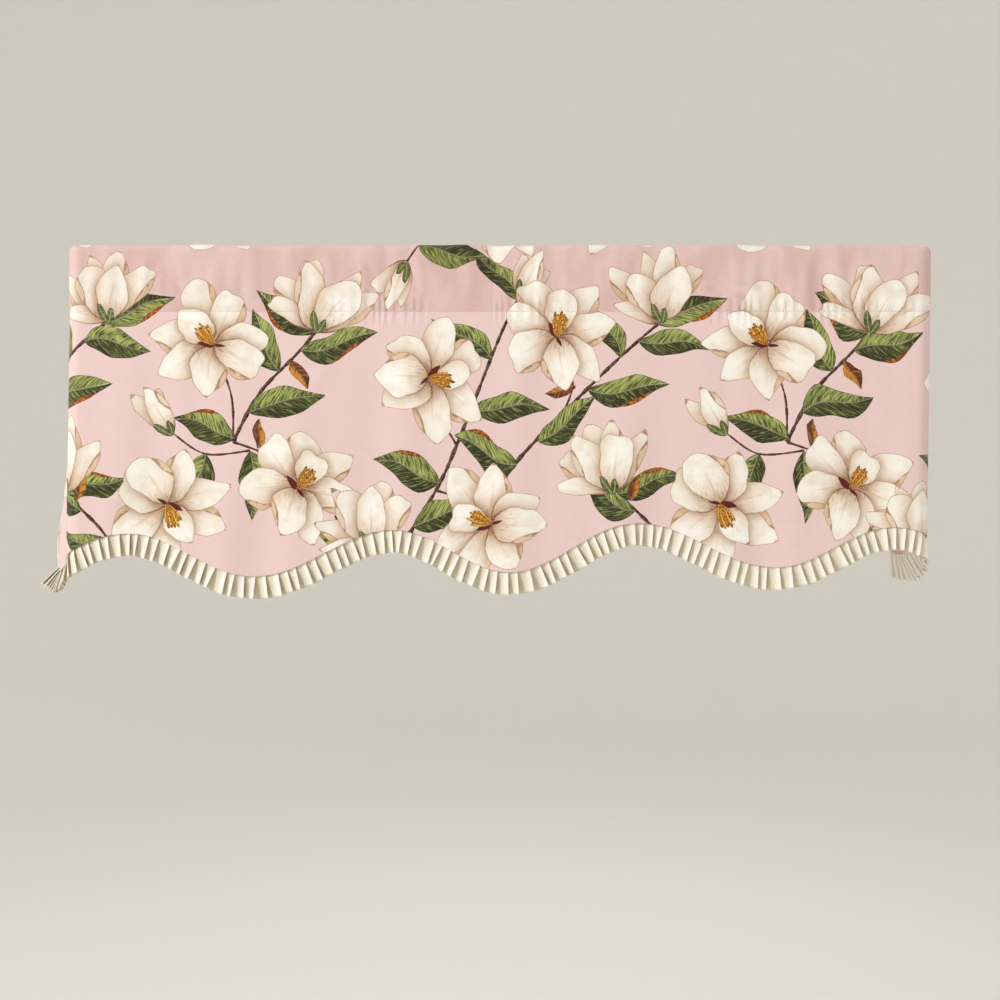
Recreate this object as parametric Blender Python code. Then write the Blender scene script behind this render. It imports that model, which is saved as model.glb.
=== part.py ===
"""Window valance of printed cotton with a rod pocket, a wavy hem and a knife-pleated trim.

Metres, +Z up. The origin is the middle of the pocket's top edge: +X runs along the front, +Y
from the front to the wall, and the cloth hangs down along -Z.
"""
import math

import bpy

# Driving dimensions
FRONT_WIDTH = 1.005        # over the outer faces of the two corners
RETURN_DEPTH = 0.140       # from the front face back to the wall
CORNER_RADIUS = 0.018      # plan radius of the outer face at the two corners
CLOTH = 0.0012             # thickness of one layer of the printed cotton
POCKET_HEIGHT = 0.077      # top edge to the stitch line
ROD_SPACE = 0.012          # clear depth inside the pocket
SEAM_BAND = 0.004          # height over which the pocket's two layers are sewn into one
SEAM_OVERLAP = 0.0004      # by which those two layers are merged there
STITCH_RECESS = 0.0012     # how far the stitch line draws the face in
RECESS_REACH = 0.012       # height over which the panel comes forward again below it
MEAN_HEM = 0.355           # mean drop of the hem
FIT_CLEARANCE = 0.0003     # between neighbouring solids

# The pocket's section near its stitch line, as height above the line and depth behind the face.
FRONT_NECK = ((0.009, 0.0004), (0.020, 0.0))
BACK_NECK = (0.0055, 0.0085)
BACK_NECK_TAPER = 0.7      # share of the cloth's thickness by which the inner side leans there
BACK_STRAIGHT_END = 0.014  # above the stitch line
FACE_MID_RISE = 0.006      # of the face's middle point above half the pocket's height

# The hanging cloth
SWING_LEFT = math.radians(22.5)    # how far the left return has swung out at its hem
SWING_RIGHT = math.radians(-2.0)   # the right one leans in a little
SWING_EASE = 1.15                  # the swing grows fastest just under the pocket
DRAW_IN_RIGHT = 0.004              # how far the right corner has drawn in at its hem
RIPPLE_AT_HEM = 0.0022             # height of the soft upright ripples at the hem
RIPPLE_AT_TOP = 0.0004
RIPPLE_END = 0.06                  # length over which they die out towards each wall end
PUCKER = 0.0005                    # height of the pocket's upright gathers
PUCKER_RATE = 118.0                # radians for each metre along the cloth
PUCKER_DRIFT = 1.2                 # by which their spacing wanders
PUCKER_DRIFT_RATE = 31.0

# The ripples are a sum of waves along the cloth.
RIPPLE_ROWS = (
    # share, radians a metre, start, lean towards the hem
    (0.6, 54.0, 0.7, 0.0),
    (0.4, 97.0, -1.1, 1.5),
)

# Wavy hem: its crests and troughs, as distance along the cloth from the middle of the front and
# drop below the top edge. The first and last rows lie just past the two wall ends.
HEM_ROWS = (
    # along,   drop
    (-0.6400, 0.3850),
    (-0.5870, 0.3860),
    (-0.4306, 0.3342),
    (-0.2845, 0.3839),
    (-0.1224, 0.3303),
    (0.0104, 0.3789),
    (0.1593, 0.3221),
    (0.3198, 0.3735),
    (0.4601, 0.3269),
    (0.6000, 0.3755),
    (0.6400, 0.3735),
)

# Knife-pleated trim
PLEATS = 112
TRIM_DROP = 0.026          # how far the pleats hang below the hem
TRIM_TUCK = 0.007          # how far they reach up behind the cloth
TRIM_THICKNESS = 0.0018    # three layers of thin cotton pressed flat
TRIM_LAP = 0.00045         # between the trim and the back of the cloth
PLEAT_LEAN = 0.8           # 1 stands square to the hem, 0 hangs plumb
PLEAT_EDGE = 0.86          # where a pleat's fold stands, as a share of its width

# The pleats' widths are uneven by a sum of waves from pleat to pleat.
PLEAT_UNEVEN_ROWS = (
    # share, radians a pleat, start
    (0.19, 2.4, 0.0),
    (0.13, 5.1, 1.0),
)

# How far the trim's lower edge fans out from the cloth, along it.
KICK_ROWS = (
    # along,  fanned out
    (-0.6400, 0.0220),
    (-0.5600, 0.0060),
    (-0.4900, 0.0015),
    (-0.4400, 0.0),
    (0.4700, 0.0),
    (0.5150, 0.0030),
    (0.5650, 0.0120),
    (0.6400, 0.0015),
)

# Rows of the trim from its sewn edge down: place below the hem line, depth of the pleats' folds
# behind the outer face, and how far each pleat steps back behind its neighbour's fold.
TRIM_ROWS = (
    # below hem,  fold depth,        step
    (-TRIM_TUCK, CLOTH + TRIM_LAP, 0.0006),
    (0.0006, CLOTH + TRIM_LAP, 0.0009),
    (0.0060, 0.0006, 0.0016),
    (0.0150, 0.0000, 0.0023),
    (TRIM_DROP, -0.0012, 0.0030),
)

# Plain colours, linear
PRINT_COLOUR = (0.80, 0.60, 0.56)
TRIM_COLOUR = (0.83, 0.78, 0.64)
ROUGHNESS = 0.85

# Fineness of the solids
FRONT_STEPS = 72
CORNER_STEPS = 5
RETURN_STEPS = 8
PANEL_ROWS = 8
POCKET_FRONT_STEPS = 30
POCKET_RETURN_STEPS = 3
FOLD_STEPS = 6
SMOOTH_ANGLE = 40
PLEAT_SMOOTH_ANGLE = 25

FOLD_RADIUS = ROD_SPACE / 2 + CLOTH
HALF_STRAIGHT = FRONT_WIDTH / 2 - CORNER_RADIUS
CORNER_LENGTH = CORNER_RADIUS * math.pi / 2
HALF_CLOTH = HALF_STRAIGHT + CORNER_LENGTH + RETURN_DEPTH - CORNER_RADIUS


def clear_scene():
    for old in list(bpy.data.objects):
        bpy.data.objects.remove(old, do_unlink=True)


def cotton(name, colour):
    """Principled material of one cotton cloth."""
    material = bpy.data.materials.new(name)
    material.use_nodes = True
    shader = material.node_tree.nodes["Principled BSDF"]
    shader.inputs["Base Color"].default_value = (*colour, 1.0)
    shader.inputs["Roughness"].default_value = ROUGHNESS
    shader.inputs["Metallic"].default_value = 0.0
    return material


def half_waves(rows, along):
    """Value at a place along the cloth: half a cosine wave from each row's value to the next."""
    along = min(max(along, rows[0][0]), rows[-1][0])
    for (start, first), (end, second) in zip(rows, rows[1:]):
        if along <= end:
            share = (along - start) / (end - start)
            return first + (second - first) * (1 - math.cos(math.pi * share)) / 2
    return rows[-1][1]


def hem_drop(along):
    return half_waves(HEM_ROWS, along)


def hem_slope(along):
    step = 0.001
    return (hem_drop(along + step) - hem_drop(along - step)) / (2 * step)


def fall(drop):
    """0 at the stitch line and above, 1 at the mean height of the hem and below."""
    return min(max((drop - POCKET_HEIGHT) / (MEAN_HEM - POCKET_HEIGHT), 0.0), 1.0)


def swing(along, drop):
    """Angle by which a return has swung out of square at this height."""
    eased = 1 - (1 - fall(drop)) ** SWING_EASE
    return eased * (SWING_RIGHT if along > 0 else SWING_LEFT)


def draw_in(along, drop):
    """How far the front has drawn in towards its middle at this place."""
    reach = DRAW_IN_RIGHT if along > 0 else 0.0
    return reach * fall(drop) * min(abs(along) / HALF_STRAIGHT, 1.0) ** 2


def ripple(along, drop):
    """Soft upright ripples, deeper towards the hem and gone at the two wall ends."""
    height = RIPPLE_AT_TOP + (RIPPLE_AT_HEM - RIPPLE_AT_TOP) * fall(drop)
    waves = sum(share * math.sin(rate * along + start + lean * fall(drop))
                for share, rate, start, lean in RIPPLE_ROWS)
    fade = min(1.0, (HALF_CLOTH - abs(along)) / RIPPLE_END)
    return height * waves * max(fade, 0.0)


def pucker(along, drop):
    """Small upright gathers of the pocket's face between the top fold and the stitch line."""
    reach = math.sin(math.pi * min(max(drop / POCKET_HEIGHT, 0.0), 1.0))
    drift = PUCKER_DRIFT * math.sin(PUCKER_DRIFT_RATE * along)
    return PUCKER * reach * math.sin(PUCKER_RATE * along + drift)


def hang(along, drop, depth):
    """World point of the hung cloth: along it, below the top edge, behind the outer face."""
    side = 1.0 if along >= 0 else -1.0
    run = abs(along)
    turn = math.pi / 2 - swing(along, drop)
    past_corner = run - HALF_STRAIGHT - CORNER_LENGTH
    bent = turn * min(max((run - HALF_STRAIGHT) / CORNER_LENGTH, 0.0), 1.0)
    radius = CORNER_LENGTH / turn
    x = min(run, HALF_STRAIGHT) - draw_in(along, drop) + radius * math.sin(bent)
    y = radius * (1 - math.cos(bent))
    if past_corner > 0:
        x += past_corner * math.cos(turn)
        y += past_corner * math.sin(turn)
    x -= depth * math.sin(bent)
    y += depth * math.cos(bent)
    return (side * x, y - FOLD_RADIUS, -drop)


def make_object(name, points, faces, material, smooth_angle=SMOOTH_ANGLE):
    mesh = bpy.data.meshes.new(name)
    mesh.from_pydata(points, [], faces)
    mesh.materials.append(material)
    mesh.shade_smooth()
    mesh.set_sharp_from_angle(angle=math.radians(smooth_angle))
    thing = bpy.data.objects.new(name, mesh)
    bpy.context.collection.objects.link(thing)
    return thing


def sheet_solid(name, outer, inner, material, smooth_angle=SMOOTH_ANGLE):
    """Closed sheet from two grids of points, outer[row][column] in front of inner."""
    rows, columns = len(outer), len(outer[0])
    points = [point for row in outer for point in row]
    points += [point for row in inner for point in row]
    back = rows * columns

    def at(row, column):
        return row * columns + column

    faces = []
    for row in range(rows - 1):
        for column in range(columns - 1):
            corners = (at(row, column), at(row + 1, column),
                       at(row + 1, column + 1), at(row, column + 1))
            faces.append(corners)
            faces.append(tuple(back + corner for corner in reversed(corners)))
    rim = [at(0, column) for column in range(columns)]
    rim += [at(row, columns - 1) for row in range(1, rows)]
    rim += [at(rows - 1, column) for column in range(columns - 2, -1, -1)]
    rim += [at(row, 0) for row in range(rows - 2, 0, -1)]
    for here, after in zip(rim, rim[1:] + rim[:1]):
        faces.append((here, after, back + after, back + here))
    return make_object(name, points, faces, material, smooth_angle)


def sleeve_solid(name, sections, material):
    """Sleeve through a row of sections, each a pair of loops (outside, inside) of equal length."""
    count = len(sections[0][0])
    points = []
    for outside, inside in sections:
        points += outside + inside

    def at(station, loop, corner):
        return station * 2 * count + loop * count + corner % count

    faces = []
    for station in range(len(sections) - 1):
        for corner in range(count):
            outside = (at(station, 0, corner), at(station + 1, 0, corner),
                       at(station + 1, 0, corner + 1), at(station, 0, corner + 1))
            inside = (at(station, 1, corner), at(station, 1, corner + 1),
                      at(station + 1, 1, corner + 1), at(station + 1, 1, corner))
            faces += [outside, inside]
    last = len(sections) - 1
    for corner in range(count):
        faces.append((at(0, 0, corner), at(0, 0, corner + 1),
                      at(0, 1, corner + 1), at(0, 1, corner)))
        faces.append((at(last, 0, corner), at(last, 1, corner),
                      at(last, 1, corner + 1), at(last, 0, corner + 1)))
    return make_object(name, points, faces, material)


def pocket_loop(inset):
    """Section of the pocket as (depth, drop, share of the puckers), inset from its outside."""
    sewn = SEAM_BAND if inset else 0.0
    merged = SEAM_OVERLAP if inset else 0.0
    loop = [(STITCH_RECESS + inset - merged, POCKET_HEIGHT - sewn, 0.0)]
    loop += [(depth + inset, POCKET_HEIGHT - above, 1.0) for above, depth in FRONT_NECK]
    loop.append((inset, POCKET_HEIGHT / 2 - FACE_MID_RISE, 1.0))
    reach = FOLD_RADIUS - inset
    for step in range(FOLD_STEPS + 1):
        angle = math.pi * step / FOLD_STEPS
        loop.append((FOLD_RADIUS - reach * math.cos(angle),
                     FOLD_RADIUS - reach * math.sin(angle), 0.0))
    above, depth = BACK_NECK
    loop += [
        (2 * FOLD_RADIUS - inset, POCKET_HEIGHT - BACK_STRAIGHT_END, 0.0),
        (depth - BACK_NECK_TAPER * inset, POCKET_HEIGHT - above - inset, 0.0),
        (STITCH_RECESS + 2 * CLOTH - inset + merged, POCKET_HEIGHT - sewn, 0.0),
    ]
    return loop


def pocket_section(along):
    loops = []
    for inset in (0.0, CLOTH):
        loops.append([hang(along, drop, depth - share * pucker(along, drop))
                      for depth, drop, share in pocket_loop(inset)])
    return loops


def build_pocket(material):
    """The sleeve at the top: its front stretch, and each corner with its return."""
    end = HALF_STRAIGHT - FIT_CLEARANCE / 2
    stations = [-end + 2 * end * step / POCKET_FRONT_STEPS
                for step in range(POCKET_FRONT_STEPS + 1)]
    sleeve_solid("rod_pocket_front", [pocket_section(along) for along in stations], material)
    runs = [HALF_STRAIGHT + FIT_CLEARANCE / 2]
    runs += [HALF_STRAIGHT + CORNER_LENGTH * step / CORNER_STEPS
             for step in range(1, CORNER_STEPS + 1)]
    corner_end = runs[-1]
    runs += [corner_end + (HALF_CLOTH - corner_end) * step / POCKET_RETURN_STEPS
             for step in range(1, POCKET_RETURN_STEPS + 1)]
    right = [pocket_section(run) for run in runs]
    left = [pocket_section(-run) for run in reversed(runs)]
    sleeve_solid("rod_pocket_return_right", right, material)
    sleeve_solid("rod_pocket_return_left", left, material)


def cloth_columns():
    """Places along the whole cloth, closer together round the two corners."""
    half = [HALF_STRAIGHT * 2 * step / FRONT_STEPS for step in range(FRONT_STEPS // 2 + 1)]
    half += [HALF_STRAIGHT + CORNER_LENGTH * step / CORNER_STEPS
             for step in range(1, CORNER_STEPS + 1)]
    corner_end = half[-1]
    half += [corner_end + (HALF_CLOTH - corner_end) * step / RETURN_STEPS
             for step in range(1, RETURN_STEPS + 1)]
    return [-along for along in reversed(half[1:])] + half


def panel_depth(along, drop):
    """Depth of the panel's outer side: drawn in at the stitch line, rippled below it."""
    recess = STITCH_RECESS * math.exp(-(drop - POCKET_HEIGHT) / RECESS_REACH)
    return recess - ripple(along, drop) * (1 - recess / STITCH_RECESS)


def build_panel(material):
    """The printed cloth below the stitch line, cut to the wavy hem."""
    top = POCKET_HEIGHT + FIT_CLEARANCE
    outer, inner = [], []
    for row in range(PANEL_ROWS + 1):
        share = row / PANEL_ROWS
        drops = [(along, top + (hem_drop(along) - top) * share) for along in cloth_columns()]
        outer.append([hang(along, drop, panel_depth(along, drop)) for along, drop in drops])
        inner.append([hang(along, drop, panel_depth(along, drop) + CLOTH)
                      for along, drop in drops])
    return sheet_solid("face_panel", outer, inner, material)


def pleat_edges():
    """Ends of the pleats along the cloth: uneven widths along the hem, by up to a third."""
    widths = []
    for pleat in range(PLEATS):
        uneven = 1 + sum(share * math.sin(rate * pleat + start)
                         for share, rate, start in PLEAT_UNEVEN_ROWS)
        slope = hem_slope(HALF_CLOTH * (2 * pleat / PLEATS - 1))
        widths.append(uneven / math.hypot(1.0, slope))
    scale = 2 * HALF_CLOTH / sum(widths)
    edges = [-HALF_CLOTH]
    for width in widths:
        edges.append(edges[-1] + width * scale)
    edges[-1] = HALF_CLOTH
    return edges


def trim_kick(along, below):
    """How far the trim stands off the line of the cloth above it."""
    return half_waves(KICK_ROWS, along) * max(below, 0.0) / TRIM_DROP


def trim_place(along, below):
    """Where a point of the trim hangs, leaned square to the hem, as (along, drop).

    Where the trim is fanned out, it also reaches less far down.
    """
    lean = PLEAT_LEAN * hem_slope(along)
    length = math.hypot(1.0, lean)
    fanned = half_waves(KICK_ROWS, along) / TRIM_DROP
    if below > 0:
        below *= (1 + math.sqrt(1 - fanned ** 2)) / 2
    return along - below * lean / length, hem_drop(along) + below / length


def build_trim(material):
    """Strip of knife pleats: each runs out to its fold and steps back behind it."""
    edges = pleat_edges()
    columns = []
    for start, end in zip(edges, edges[1:]):
        columns.append((start, 0.0))
        columns.append((start + (end - start) * PLEAT_EDGE, 1.0))
    columns.append((edges[-1], 0.0))
    outer, inner = [], []
    for below, fold_depth, step in TRIM_ROWS:
        front, back = [], []
        for along, raised in columns:
            place, drop = trim_place(along, below)
            depth = fold_depth + step * (1 - raised) - trim_kick(along, below)
            depth += panel_depth(place, drop)
            front.append(hang(place, drop, depth))
            back.append(hang(place, drop, depth + TRIM_THICKNESS))
        outer.append(front)
        inner.append(back)
    return sheet_solid("pleated_trim", outer, inner, material, PLEAT_SMOOTH_ANGLE)


def build_valance():
    clear_scene()
    print_cotton = cotton("printed_cotton", PRINT_COLOUR)
    trim_cotton = cotton("cream_cotton", TRIM_COLOUR)
    build_pocket(print_cotton)
    build_panel(print_cotton)
    build_trim(trim_cotton)


build_valance()
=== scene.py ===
"""Window valance of printed cotton: rod pocket, wavy hem and a knife-pleated cream trim.

Metres, +Z up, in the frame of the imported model. The origin is the middle of the pocket's top
edge, +X runs along the front and +Y from the front to the wall.
"""
import math
from functools import partial

import bpy
import numpy as np
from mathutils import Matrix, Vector
from mathutils.geometry import delaunay_2d_cdt


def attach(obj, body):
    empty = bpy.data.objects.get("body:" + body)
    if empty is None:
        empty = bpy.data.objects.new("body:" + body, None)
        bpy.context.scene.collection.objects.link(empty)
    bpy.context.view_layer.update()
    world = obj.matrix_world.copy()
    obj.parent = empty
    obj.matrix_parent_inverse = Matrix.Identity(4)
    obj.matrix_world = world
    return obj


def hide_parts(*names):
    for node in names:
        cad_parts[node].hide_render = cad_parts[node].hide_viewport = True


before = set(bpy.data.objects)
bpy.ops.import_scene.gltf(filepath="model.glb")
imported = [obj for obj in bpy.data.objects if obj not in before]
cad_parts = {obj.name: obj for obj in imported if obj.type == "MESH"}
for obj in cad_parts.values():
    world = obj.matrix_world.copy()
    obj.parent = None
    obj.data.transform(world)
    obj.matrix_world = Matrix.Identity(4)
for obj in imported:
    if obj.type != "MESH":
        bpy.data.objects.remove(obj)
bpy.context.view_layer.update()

# The camera stands level in front of the middle of the valance, a little above half its height,
# about one and a half metres off, with the view shifted down.
CAMERA_AT = (0.0, -1.5572, -0.2027)
LENS = 48.3
SENSOR_WIDTH = 36.0
VIEW_SHIFT = -0.08

camera_data = bpy.data.cameras.new("camera")
camera_data.lens = LENS
camera_data.sensor_width = SENSOR_WIDTH
camera_data.shift_y = VIEW_SHIFT
camera = bpy.data.objects.new("camera", camera_data)
camera.location = CAMERA_AT
camera.rotation_euler = (math.pi / 2, 0.0, 0.0)
bpy.context.collection.objects.link(camera)
bpy.context.scene.camera = camera

# The printed cloth is one length of cotton duck, turned over at the top into a rod pocket, cut
# to waves at the hem and turned in at both wall ends. These are the sizes it hangs in.
FRONT_WIDTH = 1.005
RETURN_DEPTH = 0.140
CORNER_RADIUS = 0.018
POCKET_HEIGHT = 0.077
FOLD_RADIUS = 0.0072          # of the pocket's rounded top edge
STITCH_RECESS = 0.0012
COTTON = 0.0008               # thickness of the duck
SWING_LEFT = math.radians(22.5)         # of each return away from square, at its hem
SWING_RIGHT = math.radians(-2.0)
SWING_EASE = 1.15             # above 1, a return swings most just under the pocket
DRAW_IN_RIGHT = 0.004         # how far the right corner has moved in at the hem
MEAN_HEM = 0.355
HEM_ROWS = (
    # along,   drop
    (-0.6400, 0.3850), (-0.5870, 0.3860), (-0.4306, 0.3342), (-0.2845, 0.3839),
    (-0.1224, 0.3303), (0.0104, 0.3789), (0.1593, 0.3221), (0.3198, 0.3735),
    (0.4601, 0.3269), (0.6000, 0.3755), (0.6400, 0.3735),
)
HALF_STRAIGHT = FRONT_WIDTH / 2 - CORNER_RADIUS
CORNER_LENGTH = CORNER_RADIUS * math.pi / 2
HALF_CLOTH = HALF_STRAIGHT + CORNER_LENGTH + RETURN_DEPTH - CORNER_RADIUS


def half_waves(rows, along):
    """Half a cosine wave from each row's value to the next."""
    places, values = np.array(rows).T
    along = np.clip(along, places[0], places[-1])
    row = np.clip(np.searchsorted(places, along) - 1, 0, len(places) - 2)
    share = (along - places[row]) / (places[row + 1] - places[row])
    return values[row] + (values[row + 1] - values[row]) * (1 - np.cos(np.pi * share)) / 2


def fall(drop):
    """0 at the stitch line and above, 1 at the mean height of the hem and below."""
    return np.clip((drop - POCKET_HEIGHT) / (MEAN_HEM - POCKET_HEIGHT), 0.0, 1.0)


def hang(along, drop, depth):
    """World points of the hung cloth.

    In plan the cloth runs straight, round a corner of fixed length, and straight on to the wall.
    A return that has swung out turns its corner by less, more so towards the hem.
    """
    side = np.where(along >= 0, 1.0, -1.0)
    run = np.abs(along)
    eased = 1 - (1 - fall(drop)) ** SWING_EASE
    turn = np.pi / 2 - eased * np.where(along > 0, SWING_RIGHT, SWING_LEFT)
    drawn = np.where(along > 0, DRAW_IN_RIGHT, 0.0) * fall(drop)
    drawn = drawn * np.minimum(run / HALF_STRAIGHT, 1.0) ** 2
    bent = turn * np.clip((run - HALF_STRAIGHT) / CORNER_LENGTH, 0.0, 1.0)
    radius = CORNER_LENGTH / turn
    past = np.maximum(run - HALF_STRAIGHT - CORNER_LENGTH, 0.0)
    x = np.minimum(run, HALF_STRAIGHT) - drawn + radius * np.sin(bent)
    x = x + past * np.cos(turn) - depth * np.sin(bent)
    y = radius * (1 - np.cos(bent)) + past * np.sin(turn) + depth * np.cos(bent)
    return np.stack([side * x, y - FOLD_RADIUS, -drop], axis=-1)


# Soft creases and bulges left by folding and by the pull of the gathers, listed one by one.
CREASE_ROWS = (
    # along, drop,  turn, long,  wide,   proud
    (-0.032, 0.205, -49, 0.120, 0.0070, 0.0014),
    (-0.487, 0.045, 4, 0.075, 0.0055, 0.0018),
    (-0.440, 0.052, -6, 0.060, 0.0065, -0.0014),
    (-0.412, 0.044, 2, 0.070, 0.0045, 0.0012),
    (-0.392, 0.040, 3, 0.080, 0.0055, 0.0017),
    (-0.372, 0.046, -5, 0.070, 0.0045, -0.0013),
    (-0.332, 0.044, 2, 0.070, 0.0055, 0.0016),
    (-0.300, 0.050, -4, 0.060, 0.0050, -0.0010),
    (-0.230, 0.048, 5, 0.064, 0.0060, 0.0011),
    (-0.173, 0.045, -3, 0.075, 0.0060, 0.0017),
    (-0.148, 0.050, 6, 0.060, 0.0050, -0.0013),
    (-0.090, 0.046, -2, 0.070, 0.0045, 0.0011),
    (0.048, 0.044, -4, 0.075, 0.0055, 0.0017),
    (0.070, 0.052, 3, 0.060, 0.0045, -0.0011),
    (0.120, 0.048, -3, 0.066, 0.0050, 0.0011),
    (0.162, 0.046, 5, 0.070, 0.0060, 0.0017),
    (0.225, 0.050, 2, 0.062, 0.0050, -0.0010),
    (0.290, 0.046, -2, 0.070, 0.0055, 0.0013),
    (0.352, 0.045, 4, 0.075, 0.0055, 0.0017),
    (0.405, 0.048, -5, 0.065, 0.0050, -0.0013),
    (0.450, 0.045, 3, 0.070, 0.0055, 0.0015),
    (-0.265, 0.255, 20, 0.230, 0.0500, 0.0034),
    (0.138, 0.255, -12, 0.220, 0.0450, 0.0032),
    (-0.420, 0.300, 35, 0.160, 0.0150, -0.0022),
    (0.350, 0.230, 14, 0.200, 0.0330, 0.0024),
    (0.300, 0.285, -38, 0.110, 0.0085, 0.0013),
    (-0.205, 0.150, 32, 0.100, 0.0080, 0.0011),
    (-0.350, 0.170, 4, 0.130, 0.0130, -0.0014),
    (0.020, 0.150, -5, 0.120, 0.0110, 0.0013),
    (0.265, 0.160, 3, 0.130, 0.0140, -0.0013),
    (0.440, 0.180, -3, 0.150, 0.0120, 0.0014),
)


# Heights of the ripples at the top and how much they grow to the hem, of the pocket's puckers
# and of the gathers beside the stitch line.
RIPPLE = 0.0004
RIPPLE_GROWS = 0.0018
PUCKER = 0.0007
FINE_PUCKER = 0.0004
GATHER = 0.0012


def relief(along, drop):
    """How far the face stands proud: upright ripples, pocket puckers, gathers and creases.

    Ripples are two sine waves that grow towards the hem. Puckers are sine waves that are highest
    in the middle of the pocket. Gathers are short sine waves that die away from the stitch line.
    A crease is a bell across its line, faded out to its two ends.
    """
    down = fall(drop)
    waves = 0.6 * np.sin(54 * along + 0.7) + 0.4 * np.sin(97 * along - 1.1 + 1.5 * down)
    edge = np.clip((HALF_CLOTH - np.abs(along)) / 0.06, 0.0, 1.0)
    proud = (RIPPLE + RIPPLE_GROWS * down) * waves * edge
    off_stitches = np.abs(drop - POCKET_HEIGHT)
    proud = proud * (1 - np.exp(-off_stitches / 0.012))
    in_pocket = np.sin(np.pi * np.clip(drop / POCKET_HEIGHT, 0.0, 1.0))
    proud += PUCKER * in_pocket * np.sin(118 * along + 1.2 * np.sin(31 * along))
    proud += FINE_PUCKER * in_pocket * np.sin(263 * along + 2.0 * np.sin(41 * along) + 9 * drop)
    gathers = np.sin(560 * along + 3.1 * np.sin(47 * along) + 1.7 * np.sin(133 * along))
    uneven = 0.5 + 0.5 * np.sin(23 * along + 2.0 * np.sin(9 * along))
    reach = np.where(drop > POCKET_HEIGHT, 0.009, 0.016)
    held = np.exp(-off_stitches / reach) * (1 - np.exp(-off_stitches / 0.0015))
    proud += GATHER * gathers * uneven * held
    for crease_along, crease_drop, turn, long, wide, height in CREASE_ROWS:
        angle = math.radians(turn)
        right, below = along - crease_along, drop - crease_drop
        across = right * math.cos(angle) + below * math.sin(angle)
        lengthways = below * math.cos(angle) - right * math.sin(angle)
        faded = np.clip(1 - (2 * lengthways / long) ** 2, 0.0, 1.0) ** 2
        proud += height * np.exp(-((across / wide) ** 2)) * faded
    return proud


TURNING = 0.0009              # outer radius of the folds at the hem and at the wall ends
SIDE_TURNED = 0.018           # width turned in at each wall end
HEM_TURNED = 0.012            # seam allowance turned up behind the hem
QUARTER_FOLD = FOLD_RADIUS * math.pi / 2
FOLD_TAKES = QUARTER_FOLD - FOLD_RADIUS     # cloth the rounded top takes up over its drop
SEAM_BEHIND = 0.0030          # depth of the pocket's back at the stitch line
BACK_LIP = 0.004              # of the pocket's back below the stitch line


def turned_over(place, line):
    """Place and inward offset of cloth that turns over at a line, round a fold of half a circle."""
    past = np.maximum(place - line, 0.0)
    angle = np.minimum(past / TURNING, np.pi)
    back = np.maximum(past - np.pi * TURNING, 0.0)
    placed = np.minimum(place, line) + TURNING * np.sin(angle) - back
    return placed, TURNING * (1 - np.cos(angle))


def hem_line(along):
    """Distance down the cloth at which its hem turns over."""
    return half_waves(HEM_ROWS, along) - TURNING + FOLD_TAKES


def cloth_place(along, down):
    """World points of the printed face.

    along and down are distances on the flat cloth from the middle of the top fold. The section
    is a straight front, half a circle over the top, and a back that comes in to the stitch line.
    """
    run, side_in = turned_over(np.abs(along), HALF_CLOTH - TURNING)
    along = np.copysign(run, along)
    down, hem_in = turned_over(down, hem_line(along))
    inward = side_in + hem_in
    angle = np.clip(down / FOLD_RADIUS, -np.pi / 2, np.pi / 2)
    straight = np.maximum(np.abs(down) - QUARTER_FOLD, 0.0)
    drop = FOLD_RADIUS - (FOLD_RADIUS - inward) * np.cos(angle) + straight
    uneven_top = 0.0007 * np.sin(41 * along + 0.6) + 0.0005 * np.sin(103 * along + 2.0)
    drop = drop + uneven_top * np.exp(-np.maximum(drop, 0.0) / 0.018)
    off_stitches = np.abs(drop - POCKET_HEIGHT)
    drawn = np.where(drop > POCKET_HEIGHT, 0.012, 0.006)
    face = STITCH_RECESS * np.exp(-off_stitches / drawn) - relief(along, drop)
    share = np.clip((drop - POCKET_HEIGHT + 0.020) / 0.020, 0.0, 1.0)
    back = (2 * FOLD_RADIUS - SEAM_BEHIND) * share * share * (3 - 2 * share)
    lean = np.where(down > 0, face * np.maximum(np.sin(angle), 0.0), -back)
    depth = FOLD_RADIUS - (FOLD_RADIUS - inward) * np.sin(angle) + lean
    return hang(along, drop, depth)


def unit(vectors):
    """Each vector over its own length."""
    return vectors / np.maximum(np.linalg.norm(vectors, axis=-1, keepdims=True), 1e-12)


def outward(along, down):
    """Unit normals of the printed face, from its differences along and down the cloth."""
    step = 0.0002
    across = cloth_place(along + step, down) - cloth_place(along - step, down)
    downward = cloth_place(along, down + step) - cloth_place(along, down - step)
    return unit(np.cross(downward, across))


# The print is drawn in millimetres on the flat cloth: sprays of magnolia on brown twigs, in one
# tile that repeats along the cloth. Each motif is an outline in its own straight frame, bent.
TILE = 640.0
SPACING = 6.6                 # between the points of an outline
RING = 2.0                    # an inner ring of points, so that the drawn edge stays even
PETAL, LEAF, TWIG, STAMEN = 0.25, 0.5, 0.75, 1.0     # kinds of motif: the bare ground is 0


def linear(code):
    """Linear colour of a hex sRGB code."""
    parts = np.array([int(code[place:place + 2], 16) for place in (1, 3, 5)]) / 255
    return np.where(parts <= 0.04045, parts / 12.92, ((parts + 0.055) / 1.055) ** 2.4)


PINK = linear("#e3c8c5")
WHITE = linear("#f7f5ef")
CREAM = linear("#ebe2d2")
TAN = linear("#d0a87d")
BROWN = linear("#83502f")
MAROON = linear("#5c1416")
LEAF_LIGHT = linear("#808a4b")
LEAF_LIME = linear("#b1b765")
LEAF_DARK = linear("#4b5429")
LEAF_DEEP = linear("#2d2d14")
RUSSET = linear("#a8481c")
TWIG_BROWN = linear("#321c16")
TWIG_LIGHT = linear("#6f4a3a")
GOLD = linear("#e2aa45")
AMBER = linear("#b9792a")
CALYX = linear("#5f6c38")

motifs = []


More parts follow.
